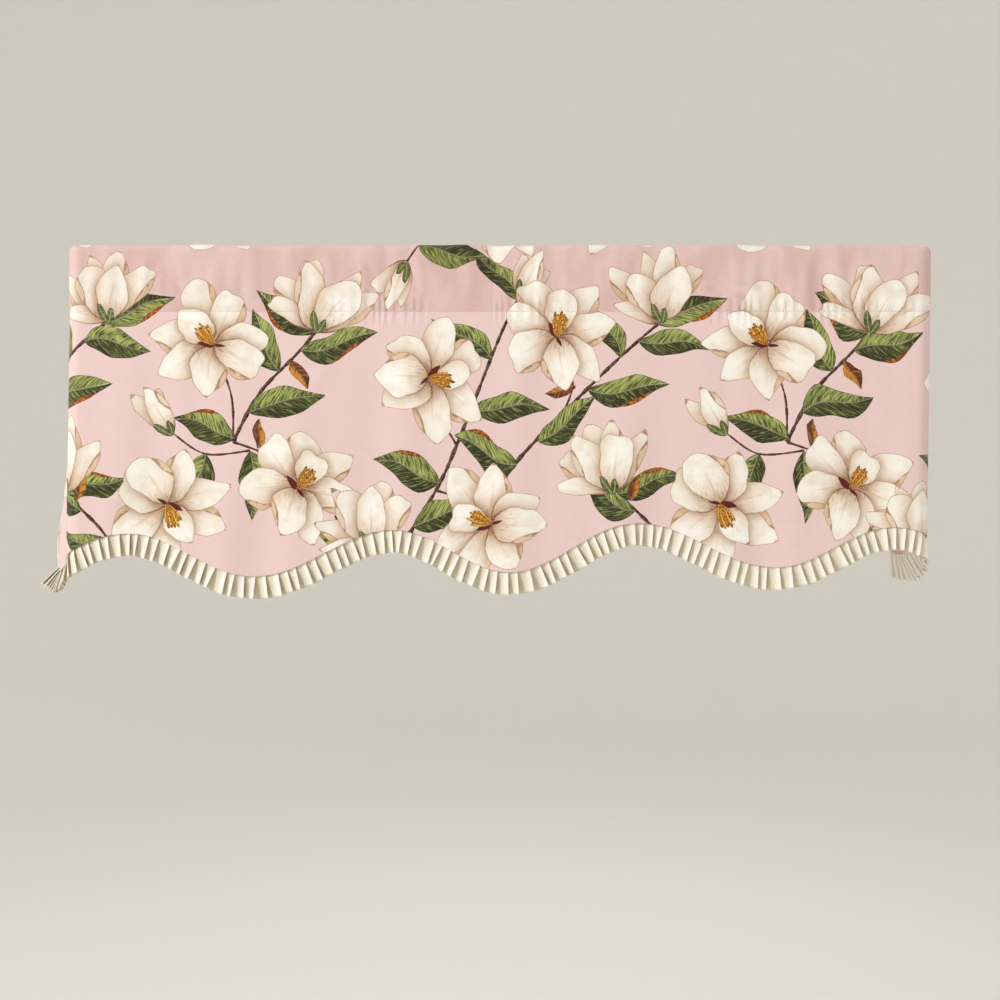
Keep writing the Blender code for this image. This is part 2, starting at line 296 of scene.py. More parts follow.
def width_profile(share, narrow, blunt):
    """Width along a petal or leaf: share**narrow * (1 - share)**blunt, at most 1."""
    widest = narrow / (narrow + blunt)
    peak = widest ** narrow * (1 - widest) ** blunt
    return share ** narrow * (1 - share) ** blunt / peak


def swept(motif, across, lengthways):
    """How a blade's outline is swept: its tip drawn out or notched, its spine bent and swaying."""
    share = lengthways / motif["reach"]
    drawn = motif["tip"] * np.exp(-((across / (0.4 * motif["half"])) ** 2)) * share ** 8
    return motif["bend"] * share ** 2 + motif["sway"] * np.sin(2 * np.pi * share), drawn


def placed(motif, across, lengthways):
    """Flat points from a motif's own straight frame."""
    sideways, drawn = swept(motif, across, lengthways)
    across, lengthways = across + sideways, lengthways + drawn
    turn = math.radians(motif["turn"])
    right = motif["at"][0] + across * math.cos(turn) + lengthways * math.sin(turn)
    down = motif["at"][1] + across * math.sin(turn) - lengthways * math.cos(turn)
    return np.stack([right, down], axis=-1)


def in_frame(motif, points):
    """Places in a motif's own frame: near enough the inverse of placed."""
    turn = math.radians(motif["turn"])
    right, down = (points - np.array(motif["at"])).T
    across = right * math.cos(turn) + down * math.sin(turn)
    lengthways = right * math.sin(turn) - down * math.cos(turn)
    sideways, _ = swept(motif, across, lengthways)
    return across - sideways, lengthways


def blade(kind, at, turn, reach, breadth, bend=0.0, narrow=0.7, blunt=0.45, wavy=0.05,
          sway=0.0, tip=0.0, **facts):
    """Petal or leaf blade: an outline, an inner ring and a spine, ready to be cut into motifs."""
    motif = dict(kind=kind, at=at, turn=turn, reach=reach, half=breadth / 2, bend=bend,
                 sway=sway, tip=tip, **facts)
    count = max(int((reach + breadth) / SPACING), 6)
    share = (1 - np.cos(np.linspace(0, np.pi, count + 1))) / 2
    seed = at[0] * 0.71 + at[1] * 0.37 + turn * 0.053
    skew = 1 + 0.25 * math.sin(3 * seed)
    left = -breadth / 2 * width_profile(share, narrow, blunt * skew)
    left *= 1 + wavy * np.sin(9 * share + seed) + 0.5 * wavy * np.sin(17 * share - seed)
    right = breadth / 2 * width_profile(share, narrow, blunt / skew)
    right *= 1 + wavy * np.sin(8 * share - seed) + 0.5 * wavy * np.sin(16 * share + seed)
    motif["sides"] = (share * reach, left, right)
    inner = np.minimum(-left, right) > RING + 1.0
    spine = np.arange(SPACING * 1.6, reach - SPACING, SPACING * 2.0)
    motif["inside"] = np.concatenate([
        placed(motif, left[inner] + RING, share[inner] * reach),
        placed(motif, right[inner] - RING, share[inner] * reach),
        placed(motif, 0.0, spine),
    ])
    return motif


def whole(motif):
    """Adds a blade as one motif, with its outline closed."""
    along, left, right = motif["sides"]
    motif["outline"] = np.concatenate([
        placed(motif, left[:-1], along[:-1]),
        placed(motif, right[:0:-1], along[:0:-1]),
    ])
    motifs.append(motif)
    return motif


def rolled_edge(motif, side, start, end, depth, **facts):
    """Adds the strip of a blade's edge that rolls over, between two shares of its length."""
    along, left, right = motif["sides"]
    reach = motif["reach"]
    share = np.linspace(start, end, max(int((end - start) * reach / SPACING), 4) + 1)
    edge = np.interp(share * reach, along, right if side > 0 else left)
    rolled = np.sin(np.pi * (share - start) / (end - start)) ** 0.8 * depth
    outer = edge + side * 0.25 * rolled
    inner = edge - side * 0.75 * rolled
    motifs.append(dict(motif, **facts, inside=np.zeros((0, 2)), outline=np.concatenate([
        placed(motif, outer, share * reach),
        placed(motif, inner[-2:0:-1], share[-2:0:-1] * reach)])))


def add_half(motif, edge, **facts):
    """Adds the half of a blade between one edge and its midrib."""
    along = motif["sides"][0]
    motifs.append(dict(motif, **facts, outline=np.concatenate([
        placed(motif, edge[:-1], along[:-1]), placed(motif, 0.0, along[:0:-1])])))


def leaf(at, turn, reach, breadth, bend, dark, rolled):
    """A leaf: two halves that meet at the midrib, one in shade, and a rolled russet edge."""
    lively = math.sin(0.9 * at[0] + 1.7 * at[1])
    motif = blade(LEAF, at, turn, reach * (1.20 + 0.08 * lively), breadth * (1.20 - 0.12 * lively),
                  bend * 2.2, narrow=0.74, blunt=0.95, wavy=0.09, sway=4.0 * lively, tip=4.0)
    for side, edge in zip((-1, 1), motif["sides"][1:]):
        add_half(motif, edge, shaded=side == dark)
    if rolled:
        rolled_edge(motif, rolled, 0.42, 0.86, breadth * 0.20, colour=RUSSET)


def curled_leaf(at, turn, reach, bend):
    """A small dry leaf, curled lengthways: one half deep russet, the other gold."""
    motif = blade(LEAF, at, turn, reach, reach * 0.46, bend, narrow=0.8, blunt=0.8, wavy=0.10,
                  sway=1.5, tip=3.0)
    for edge, colour, plain in zip(motif["sides"][1:], ("#7a2a12", "#c9832c"), (0.7, 1.0)):
        add_half(motif, edge, colour=linear(colour), plain=plain)


def twig(points, thick, thin):
    """A twig: a ribbon along a smooth curve through its points, with a lighter upper side."""
    knots = np.array([points[0], *points, points[-1]], dtype=float)
    curve = []
    for before, start, end, after in zip(knots, knots[1:], knots[2:], knots[3:]):
        share = np.linspace(0, 1, max(int(np.linalg.norm(end - start) / 5), 3) + 1)[:-1, None]
        curve.append(0.5 * (2 * start + (end - before) * share
                            + (2 * before - 5 * start + 4 * end - after) * share ** 2
                            + (3 * start - before - 3 * end + after) * share ** 3))
    curve = np.concatenate(curve + [knots[-1:]])
    heading = unit(np.gradient(curve, axis=0))
    square = np.stack([heading[:, 1], -heading[:, 0]], axis=1)
    if square.sum() > 0:
        square = -square
    number = np.arange(len(curve))
    half = np.linspace(thick, thin, len(curve)) * 0.64
    half = half * (1 + 0.20 * np.sin(2.1 * number) + 0.16 * np.sin(0.9 * number + 1))
    for offset, width, colour in ((0.0, 1.0, TWIG_BROWN), (0.45, 0.28, TWIG_LIGHT)):
        middle = curve + square * (offset * half)[:, None]
        reach = square * (width * half)[:, None]
        motifs.append(dict(
            kind=TWIG, at=tuple(points[0]), turn=0.0, reach=100.0, half=10.0, bend=0.0,
            sway=0.0, tip=0.0, colour=colour, inside=np.zeros((0, 2)),
            outline=np.concatenate([middle + reach, (middle - reach)[::-1]])))


OPEN_PETALS = (
    # turn, reach, breadth, bend, start, rolled
    (-36, 64, 42, -7, 3, -1),
    (24, 67, 44, 6, 3, 1),
    (-88, 63, 40, 8, 3, 0),
    (76, 65, 42, -7, 3, 1),
    (-133, 61, 42, -5, 3, -1),
    (127, 62, 40, 7, 3, 0),
    (-8, 46, 36, -3, 2, 0),
    (170, 58, 46, -5, 2, 1),
)
SIDE_PETALS = (               # in the same order
    (-12, 88, 34, -3, 0, 0),
    (16, 90, 36, 4, 0, 1),
    (-38, 82, 34, -11, 0, -1),
    (37, 80, 34, 12, 0, 1),
    (-60, 62, 24, -14, 0, 0),
    (-17, 74, 42, -4, 0, -1),
    (17, 72, 44, 5, 0, 0),
)
BUD_PETALS = (
    (-13, 60, 24, -3, 0, 0),
    (14, 58, 24, 4, 0, 0),
    (0, 66, 27, 2, 0, 1),
)


PETAL_SHAPES = (
    # narrow, blunt, tip
    (0.62, 0.36, -4.0), (0.55, 0.66, 4.5), (0.7, 0.46, 2.0), (0.6, 0.56, 5.5),
)


def bloom(rows, at, turn, size, number):
    """A bloom: its petals in painting order, uneven from bloom to bloom."""
    for row, (petal_turn, reach, breadth, bend, start, rolled) in enumerate(rows):
        uneven = math.sin(5.3 * number + 2.9 * row)
        heading = turn + petal_turn + 7 * uneven
        across = math.radians(heading)
        base = (at[0] + start * size * math.sin(across), at[1] - start * size * math.cos(across))
        narrow, blunt, tip = PETAL_SHAPES[(row + int(number)) % 4]
        petal = whole(blade(
            PETAL, base, heading, reach * size * (1 + 0.08 * math.sin(3.7 * number + row)),
            breadth * size * (1 + 0.09 * uneven), bend * size, narrow, blunt, wavy=0.065,
            tip=tip * size, tone=0.5 + 0.5 * math.sin(2.2 * row + number), centre=at,
            bloom=number, row=row))
        if rolled:
            rolled_edge(petal, rolled, 0.38, 0.92, 8.5 * size, rolled_petal=True)
    if rows is OPEN_PETALS:
        cone = math.radians(turn)
        foot = (at[0] - 3 * math.sin(cone), at[1] + 3 * math.cos(cone))
        for spread, reach, breadth in ((-62, 20, 8), (118, 13, 4)):
            spread += 22 * math.sin(2.6 * number)
            whole(blade(STAMEN, foot, turn + spread, reach * size, breadth * size, blunt=0.9,
                        narrow=0.5, wavy=0.1, colour=MAROON, plain=True))
        for filament in (-3, 3, -2, 2, -1, 1, 0):
            reach = (30 - 0.7 * filament ** 2 + 2.5 * math.sin(9 * filament + number)) * size
            whole(blade(STAMEN, foot, turn + 8 * filament, reach, 4.8 * size,
                        bend=-0.3 * filament, blunt=0.4, narrow=0.5, wavy=0.10, plain=False,
                        colour=GOLD if filament % 2 else AMBER))
    else:
        for side in (-1, 1):
            whole(blade(LEAF, (at[0], at[1] + 3), turn + 30 * side, (22 - 4 * side) * size,
                        9.5 * size, bend=-3.5 * side, tip=2.0, colour=CALYX, plain=0.7))


TWIG_ROWS = (
    # thick, thin, points
    (3.8, 2.6, ((-36, 345), (14, 262), (72, 200), (138, 135), (187, 92))),
    (2.2, 1.6, ((72, 200), (84, 165), (70, 120))),
    (3.6, 2.6, ((215, 425), (190, 350), (158, 312), (131, 290))),
    (2.4, 1.8, ((190, 350), (226, 338), (252, 306))),
    (3.6, 2.6, ((332, 232), (362, 176), (404, 132), (428, 104))),
    (2.4, 1.6, ((332, 232), (330, 180), (312, 130))),
    (2.4, 1.8, ((332, 232), (376, 250), (404, 282))),
    (2.0, 1.6, ((352, 242), (300, 246), (262, 222))),
    (3.8, 2.6, ((486, 440), (528, 352), (566, 288), (590, 236), (640, 110), (662, 66))),
    (2.2, 1.6, ((590, 236), (570, 200), (562, 165))),
    (2.2, 1.6, ((528, 352), (512, 360), (492, 352))),
    (2.4, 1.8, ((566, 288), (600, 300), (622, 322))),
    (3.0, 2.0, ((560, -95), (590, -62), (640, -40))),
    (3.0, 2.0, ((230, -95), (270, -66), (318, -52))),
    (2.8, 1.8, ((604, -64), (566, -22), (532, 24))),
    (3.0, 1.8, ((392, -96), (430, -64), (474, -46))),
)
LEAF_ROWS = (
    # along, down, turn, reach, breadth, bend, dark, rolled
    (20, 258, -78, 66, 30, 8, -1, 1),
    (44, 232, 62, 64, 28, -7, 1, 0),
    (102, 172, 98, 70, 31, -9, 1, 1),
    (140, 134, -24, 60, 27, -6, -1, 0),
    (160, 116, 84, 62, 28, 9, 1, 0),
    (182, 96, 58, 66, 29, 8, -1, 1),
    (188, 348, 74, 62, 28, -8, 1, 0),
    (156, 312, -68, 70, 31, 8, -1, 1),
    (135, 292, 66, 62, 27, 6, 1, -1),
    (198, 372, -52, 60, 27, -7, -1, 0),
    (334, 228, -60, 62, 28, -7, -1, 1),
    (350, 198, 66, 70, 31, 8, 1, 0),
    (384, 150, -34, 62, 27, 7, -1, 0),
    (410, 126, 88, 68, 30, -8, 1, 1),
    (426, 106, -66, 64, 28, 8, -1, -1),
    (352, 243, 168, 62, 27, 7, 1, 0),
    (300, 246, 205, 58, 26, -6, -1, 1),
    (520, 368, -64, 66, 29, 7, -1, 0),
    (540, 330, 74, 66, 29, -8, 1, 1),
    (570, 280, -58, 68, 30, -8, -1, 1),
    (606, 196, 78, 68, 30, 8, 1, 0),
    (630, 136, -46, 62, 28, -7, -1, -1),
    (650, 92, 62, 64, 28, 7, 1, 0),
    (660, 68, -30, 56, 25, -6, -1, 0),
    (494, 356, -80, 58, 26, 6, 1, 0),
    (592, -62, -30, 60, 27, 6, -1, 0),
    (270, -66, -40, 62, 28, 6, -1, 1),
    (290, -58, 20, 58, 27, -6, 1, 0),
    (570, -26, -96, 62, 28, 7, 1, 1),
    (546, 4, 112, 64, 29, -7, -1, 0),
    (424, -68, -22, 58, 26, 6, -1, 0),
    (448, -56, 128, 60, 27, -6, 1, 1),
    (404, -86, -108, 60, 27, 6, 1, 0),
    (190, -64, 84, 60, 27, 6, -1, 0),
)
CURLED_ROWS = (
    # along, down, turn, reach, bend
    (88, 168, -112, 34, 6),
    (398, 138, 140, 36, 6),
    (360, 240, 12, 32, -5),
    (150, 300, 12, 30, 5),
)
BLOOM_ROWS = (
    # petals, along, down, turn, size
    (OPEN_PETALS, 66, 108, 12, 1.0),
    (SIDE_PETALS, 187, 92, -6, 0.92),
    (SIDE_PETALS, 131, 290, -14, 0.95),
    (OPEN_PETALS, 256, 306, 160, 1.03),
    (SIDE_PETALS, 428, 104, 14, 0.98),
    (OPEN_PETALS, 308, 118, -42, 1.0),
    (OPEN_PETALS, 408, 284, 38, 1.0),
    (BUD_PETALS, 262, 222, -38, 0.95),
    (OPEN_PETALS, 560, 158, 100, 1.0),
    (SIDE_PETALS, 492, 352, -16, 0.88),
    (OPEN_PETALS, 628, 326, -70, 0.98),
    (BUD_PETALS, 662, 66, 24, 0.9),
    (OPEN_PETALS, 640, -38, 20, 0.95),
    (OPEN_PETALS, 322, -50, 190, 0.98),
    (OPEN_PETALS, 130, -48, 75, 0.95),
    (BUD_PETALS, 532, 22, 206, 0.85),
    (SIDE_PETALS, 474, -44, 66, 0.72),
)
TILES = (-2 * TILE, -TILE, 0.0, TILE)
for shift in TILES:
    for thick, thin, points in TWIG_ROWS:
        twig([(along + shift, down) for along, down in points], thick, thin)
for shift in TILES:
    for along, down, *shape in LEAF_ROWS:
        leaf((along + shift, down), *shape)
    for along, down, *shape in CURLED_ROWS:
        curled_leaf((along + shift, down), *shape)
for tile, shift in enumerate(TILES):
    for number, (rows, along, down, turn, size) in enumerate(BLOOM_ROWS):
        bloom(rows, (along + shift, down), turn, size, number + 0.31 * tile)
HALF_CUT = (HALF_CLOTH - TURNING + math.pi * TURNING + SIDE_TURNED) * 1000
motifs = [motif for motif in motifs if abs(motif["outline"][:, 0]).min() < HALF_CUT]


# The cut of the cloth, and the points that carry its shape: close together round every fold,
# round the two corners and beside the stitch line, and wide apart on the plain face.
BACK_END = -(QUARTER_FOLD + POCKET_HEIGHT - FOLD_RADIUS + BACK_LIP) * 1000
FOLD_LINE = (HALF_CLOTH - TURNING) * 1000
STITCH_LINE = (POCKET_HEIGHT + FOLD_TAKES) * 1000
FOLD_ACROSS = math.pi * TURNING * 1000
MITRE = 15.0                  # cut away at the two lower corners
SIDE_POINTS = 90              # along each wall edge of the cut


def flat_points(right, down):
    """Flat points from their places along and down the cloth: arrays, or one of them a number."""
    return np.stack(np.broadcast_arrays(right, down), axis=1)


def hem_edge(right, past):
    """Flat distance down to a line that follows the hem, past the line it turns over at."""
    return hem_line(np.asarray(right) / 1000) * 1000 + past


top_edge = np.arange(-HALF_CUT, HALF_CUT, 4.0)
low_edge = np.arange(FOLD_LINE - MITRE, -FOLD_LINE + MITRE - 0.1, -4.2)
right_edge = np.linspace(BACK_END, hem_edge(FOLD_LINE, -MITRE), SIDE_POINTS)
left_edge = np.linspace(hem_edge(-FOLD_LINE, -MITRE), BACK_END + 4, SIDE_POINTS)
outline = np.concatenate([
    flat_points(top_edge, BACK_END),
    flat_points(HALF_CUT, right_edge),
    flat_points(low_edge, hem_edge(low_edge, FOLD_ACROSS + HEM_TURNED * 1000)),
    flat_points(-HALF_CUT, left_edge),
])
lines = []
for past in np.linspace(-0.4, FOLD_ACROSS + 0.4, 6):
    right = np.arange(-FOLD_LINE, FOLD_LINE + 0.1, 4.0)
    lines.append(flat_points(right, hem_edge(right, past)))
right = np.arange(-HALF_CUT, HALF_CUT, 5.5)
for down in np.linspace(-QUARTER_FOLD, QUARTER_FOLD, 9) * 1000:
    lines.append(flat_points(right, down))
start, end = HALF_STRAIGHT * 1000, (HALF_STRAIGHT + CORNER_LENGTH) * 1000
columns = [*np.linspace(start, end, 9), *np.linspace(FOLD_LINE, FOLD_LINE + FOLD_ACROSS, 6)]
for side in (-1, 1):
    for right in columns:
        down = np.arange(BACK_END + 3, hem_edge(right, 0.0), 6.0)
        lines.append(flat_points(side * right, down))
loose = []
for off in (-12.0, -7.0, -3.6, -1.5, 0.0, 1.5, 3.6, 7.0, 12.0):
    right = np.arange(-FOLD_LINE, FOLD_LINE, 3.3)
    loose.append(flat_points(right, STITCH_LINE + off))
for spacing, top, bottom in ((7.0, 14.0, STITCH_LINE - 13), (10.0, STITCH_LINE + 13, 400.0),
                             (12.0, BACK_END + 3, -14.0)):
    right, down = np.meshgrid(np.arange(-HALF_CUT + 2, HALF_CUT, spacing),
                              np.arange(top, bottom, spacing))
    right = right + spacing / 2 * (np.arange(len(right)) % 2)[:, None]
    loose.append(flat_points(right.ravel(), down.ravel()))


def signed_area(polygon):
    """Area of a closed outline by the shoelace sum: its sign says which way round it runs."""
    after = np.roll(polygon, -1, axis=0)
    return (polygon[:, 0] * after[:, 1] - polygon[:, 1] * after[:, 0]).sum() / 2


def covers(polygon, points):
    """True for points inside a closed outline: a ray from each crosses it an odd number of times."""
    start, end = polygon, np.roll(polygon, -1, axis=0)
    above = (start[:, 1] > points[:, 1:]) != (end[:, 1] > points[:, 1:])
    with np.errstate(divide="ignore", invalid="ignore"):
        slope = (end[:, 0] - start[:, 0]) / (end[:, 1] - start[:, 1])
        crossing = start[:, 0] + (points[:, 1:] - start[:, 1]) * slope
    return (above & (points[:, :1] < crossing)).sum(axis=1) % 2 == 1


def distance_to(polygon, points):
    """Shortest distance from each point to a closed outline."""
    start = polygon
    span = np.roll(polygon, -1, axis=0) - start
    reach = points[:, None] - start
    share = (reach * span).sum(-1) / np.maximum((span ** 2).sum(-1), 1e-9)
    apart = reach - np.clip(share, 0, 1)[..., None] * span
    return np.sqrt((apart ** 2).sum(-1)).min(axis=1)


# A motif's inner points are left out where the next few, painted over it, cover them.
PAINTED_NEXT = 11
for here, motif in enumerate(motifs):
    for other in motifs[here + 1:here + 1 + PAINTED_NEXT]:
        if other.get("bloom") == motif.get("bloom") and len(motif["inside"]):
            motif["inside"] = motif["inside"][~covers(other["outline"], motif["inside"])]

vectors, edges, polygons = [], [], []
for polygon in [outline] + [motif["outline"] for motif in motifs]:
    if signed_area(polygon) < 0:
        polygon = polygon[::-1]
    polygons.append(list(range(len(vectors), len(vectors) + len(polygon))))
    vectors.extend(map(Vector, polygon.tolist()))
for line in lines:
    edges.extend((len(vectors) + i, len(vectors) + i + 1) for i in range(len(line) - 1))
    vectors.extend(map(Vector, line.tolist()))
for cloud in loose + [motif["inside"] for motif in motifs]:
    vectors.extend(map(Vector, cloud.tolist()))
flat, _, triangles, _, _, covering = delaunay_2d_cdt(vectors, edges, polygons, 1, 1e-4, True)
kept = [i for i, cover in enumerate(covering) if 0 in cover]
flat = np.array(flat)
triangles = np.array([triangles[i] for i in kept])
painted = np.array([max(covering[i]) for i in kept]) - 1
used, triangles = np.unique(triangles, return_inverse=True)
flat, triangles = flat[used], triangles.reshape(-1, 3)


FAR = 100.0                   # from any petal painted over this one


def shade_petal(motif, share, across, edge, corners):
    """Petal colours: white, tan towards the base and one edge, brown near the throat.

    A petal is also darker close beside the petals painted over it.
    """
    base = np.clip(1.0 - share / 0.55, 0.0, 1.0)[:, None] ** 1.25
    cream = 0.28 * motif["tone"] + 0.40 * np.exp(-edge / 5.0)
    colour = WHITE + (CREAM - WHITE) * cream[:, None]
    colour += (TAN - colour) * 0.85 * base
    lit = np.clip(across * (1 if motif["row"] % 2 else -1), 0.0, 1.0)[:, None]
    colour += (TAN - colour) * 0.55 * lit ** 2
    if motif.get("rolled_petal"):
        colour += (TAN - colour) * 0.5
    near = np.full(len(corners), FAR)
    for other in motifs:
        if other.get("bloom") == motif["bloom"] and other["row"] > motif["row"]:
            near = np.minimum(near, distance_to(other["outline"], corners))
    colour += (TAN - colour) * 0.5 * np.exp(-near / 8.0)[:, None]
    shadow = np.exp(-near / 3.6)[:, None] * np.clip(1.15 - 1.05 * share[:, None], 0.12, 1.0)
    colour += (BROWN - colour) * 0.72 * shadow
    heart = np.hypot(*(corners - np.array(motif["centre"])).T)
    throat = np.exp(-((heart / 13.0) ** 2))[:, None]
    return colour + (BROWN - colour) * 0.65 * throat


def shade_leaf(motif, share, off_midrib, number):
    """Leaf colours: one half light with lime towards its tip, the other dark to near black."""
    swell = (0.5 + 0.5 * np.sin(7 * share + number))[:, None]
    if motif["shaded"]:
        deep = np.clip(0.25 + 0.9 * off_midrib + 0.35 * np.sin(5 * share + number), 0, 1)[:, None]
        return LEAF_DARK + (LEAF_DEEP - LEAF_DARK) * deep
    colour = LEAF_LIGHT + (LEAF_LIME - LEAF_LIGHT) * 0.75 * swell * off_midrib[:, None] ** 0.5
    return colour + (LEAF_DARK - colour) * 0.7 * np.clip(1 - 2.6 * share, 0, 1)[:, None]


# Each triangle's corners keep their motif's kind, how far they lie from its outline, their share
# of its length and how plain it is, and their place in the motif's own frame, in metres.
EDGE_SCALE = 20.0             # distance from the outline that is kept as 1
MOTIF_STEP = 131.0            # between the frames, so that motifs don't share their streaks
ink = np.tile(PINK, (len(triangles) * 3, 1))
trace = np.zeros((len(triangles) * 3, 4))
local = np.zeros((len(triangles) * 3, 2))
corner_flat = flat[triangles.ravel()]
for number, motif in enumerate(motifs):
    mine = np.repeat(painted == number, 3)
    if not mine.any():
        continue
    corners = corner_flat[mine]
    across, lengthways = in_frame(motif, corners)
    share = np.clip(lengthways / motif["reach"], 0.0, 1.0)
    edge = distance_to(motif["outline"], corners)
    if motif["kind"] == PETAL:
        colour = shade_petal(motif, share, across / motif["half"], edge, corners)
    elif "colour" in motif:
        colour = np.tile(motif["colour"], (len(corners), 1))
    else:
        colour = shade_leaf(motif, share, np.abs(across) / motif["half"], number)
    ink[mine] = colour
    plain = 0.5 if motif.get("shaded") else motif.get("plain", "colour" in motif)
    trace[mine] = np.stack(np.broadcast_arrays(motif["kind"], edge / EDGE_SCALE, share,
                                               float(plain)), axis=1)
    local[mine] = flat_points(across, lengthways + MOTIF_STEP * (number % 37)) / 1000

# Both faces of the cloth from the same flat points: the printed one, and its wrong side, where
# the print only shows through faintly. A narrow rim closes the cut edges.
WRONG_SIDE = linear("#f0ddd8")
SHOWS_THROUGH = 0.22


def smooth_piece(name, points, faces):
    """A piece of that name, and its smooth mesh, from its points and faces."""
    mesh = bpy.data.meshes.new(name)
    mesh.from_pydata(points, [], faces)
    mesh.shade_smooth()
    piece = bpy.data.objects.new(name, mesh)
    bpy.context.collection.objects.link(piece)
    return piece, mesh


right, down = flat.T / 1000
face_points = cloth_place(right, down)
normals = outward(right, down)
vertices = np.concatenate([face_points, face_points - COTTON * normals])
count = len(flat)
sides = np.concatenate([triangles[:, [0, 1]], triangles[:, [1, 2]], triangles[:, [2, 0]]])
keys = np.sort(sides, axis=1) @ np.array([count, 1])
_, first, times = np.unique(keys, return_index=True, return_counts=True)
rim = sides[first[times == 1]]
faces = np.concatenate([triangles[:, ::-1], triangles + count]).tolist()
faces += np.stack([rim[:, 0], rim[:, 1], rim[:, 1] + count, rim[:, 0] + count], axis=1).tolist()
flipped = np.arange(len(triangles) * 3).reshape(-1, 3)[:, ::-1].ravel()
rim_count = len(rim) * 4
cloth, cloth_mesh = smooth_piece("printed_cloth", vertices, faces)
shown_through = WRONG_SIDE + (ink - WRONG_SIDE) * SHOWS_THROUGH
all_ink = np.concatenate([ink[flipped], shown_through, np.tile(PINK, (rim_count, 1))])
all_ink = np.column_stack([all_ink, np.ones(len(all_ink))])
all_trace = np.concatenate([trace[flipped], np.zeros((len(trace) + rim_count, 4))])
for name, values in (("ink", all_ink), ("trace", all_trace)):
    layer = cloth_mesh.attributes.new(name, "FLOAT_COLOR", "CORNER")
    layer.data.foreach_set("color", values.ravel())
rim_flat = np.stack([rim[:, 0], rim[:, 1], rim[:, 1], rim[:, 0]], axis=1).ravel()
cut_uv = np.concatenate([corner_flat[flipped], corner_flat, flat[rim_flat]]) / 1000
local_uv = np.concatenate([local[flipped], local, np.zeros((rim_count, 2))])
for name, values in (("cut", cut_uv), ("place", local_uv)):
    cloth_mesh.uv_layers.new(name=name).uv.foreach_set("vector", values.ravel())
cloth_mesh.normals_split_custom_set_from_vertices(np.concatenate([normals, -normals]))


def node(tree, kind, inputs, out=0, **settings):
    """Adds a node: its settings, each input as a value or a link, and returns one output."""
    made = tree.nodes.new("ShaderNode" + kind)
    for name, value in settings.items():
        setattr(made, name, value)
    for name, value in inputs.items():
        socket = made.inputs[name]
        if isinstance(value, bpy.types.NodeSocket):
            tree.links.new(value, socket)
        elif socket.type == "RGBA":
            socket.default_value = (*value, 1.0)
        else:
            socket.default_value = value
    return made.outputs[out]


def cotton(name, roughness, sheen):
    """Matt woven cotton: its material, its shader and a function that adds its nodes."""
    material = bpy.data.materials.new(name)
    material.use_nodes = True
    shader = material.node_tree.nodes["Principled BSDF"]
    shader.inputs["Roughness"].default_value = roughness
    shader.inputs["Specular IOR Level"].default_value = 0.3
    shader.inputs["Sheen Weight"].default_value = sheen
    shader.inputs["Sheen Roughness"].default_value = 0.5
    return material, shader, partial(node, material.node_tree)


# Cotton duck, plain woven and screen printed: matt, faintly fuzzy, its ink a little uneven. The
# petals carry pencil-thin streaks and tan outlines, and the leaves a pale midrib and veins.
duck, shader, add = cotton("printed_cotton_duck", 0.82, 0.15)
smooth = dict(interpolation_type="SMOOTHSTEP")
product = dict(operation="MULTIPLY")
laid_over = dict(out=2, data_type="RGBA")
cut = add("UVMap", {}, uv_map="cut")
own = add("UVMap", {}, uv_map="place")
ink_read = add("Attribute", {}, attribute_name="ink")
trace_read = add("Attribute", {}, attribute_name="trace")
plain_part = add("Attribute", {}, 3, attribute_name="trace")
kind, edge, along_share = [add("SeparateColor", {0: trace_read}, part) for part in (0, 1, 2)]
edge_mm = add("Math", {0: edge, 1: EDGE_SCALE}, **product)
across, along = [add("SeparateXYZ", {0: own}, part) for part in (0, 1)]
across = add("Math", {0: across}, operation="ABSOLUTE")
across_mm = add("Math", {0: across, 1: 1000.0}, **product)
along_mm = add("Math", {0: along, 1: 1000.0}, **product)
wash = add("TexNoise", {"Vector": cut, "Scale": 60.0, "Detail": 4.0})
grain = add("TexNoise", {"Vector": cut, "Scale": 260.0, "Detail": 2.0})
stretched = add("Mapping", {"Vector": own, "Scale": (6.5, 1.0, 1.0)})
streak = add("TexNoise", {"Vector": stretched, "Scale": 90.0, "Detail": 3.0})

# Petals: streaks and a faint fold that run out from the base, a mottled wash, and an outline of
# uneven strength that is darker and wider near the base.
near_base = add("MapRange", {0: along_share, 1: 0.75, 2: 0.10, 4: 0.7}, **smooth)
stroke_ink = add("MapRange", {0: along_share, 1: 0.45, 2: 0.10}, **smooth)
stroke_ink = add("Mix", {0: stroke_ink, 6: TAN, 7: BROWN}, **laid_over)
short_of_tip = add("MapRange", {0: along_share, 1: 0.85, 2: 0.3}, **smooth)
line_ink = add("MapRange", {0: along_share, 1: 0.45, 2: 0.12}, **smooth)
line_ink = add("Mix", {0: line_ink, 6: linear("#9c7050"), 7: linear("#4a2019")}, **laid_over)
line_width = add("MapRange", {0: along_share, 1: 0.5, 2: 0.1, 3: 1.1, 4: 2.3})
broken = add("MapRange", {0: streak, 1: 0.25, 2: 0.6, 3: 0.45, 4: 0.9}, **smooth)
petal_layers = (
    # read from, none at, full at, most, thinned by, colour
    (streak, 0.50, 0.68, 1.0, [near_base], stroke_ink),
    (wash, 0.44, 0.68, 0.34, [], linear("#d8c5a8")),
    (across_mm, 2.2, 0.2, 0.5, [short_of_tip], TAN),
    (edge_mm, line_width, 0.25, 1.0, [broken], line_ink),
)

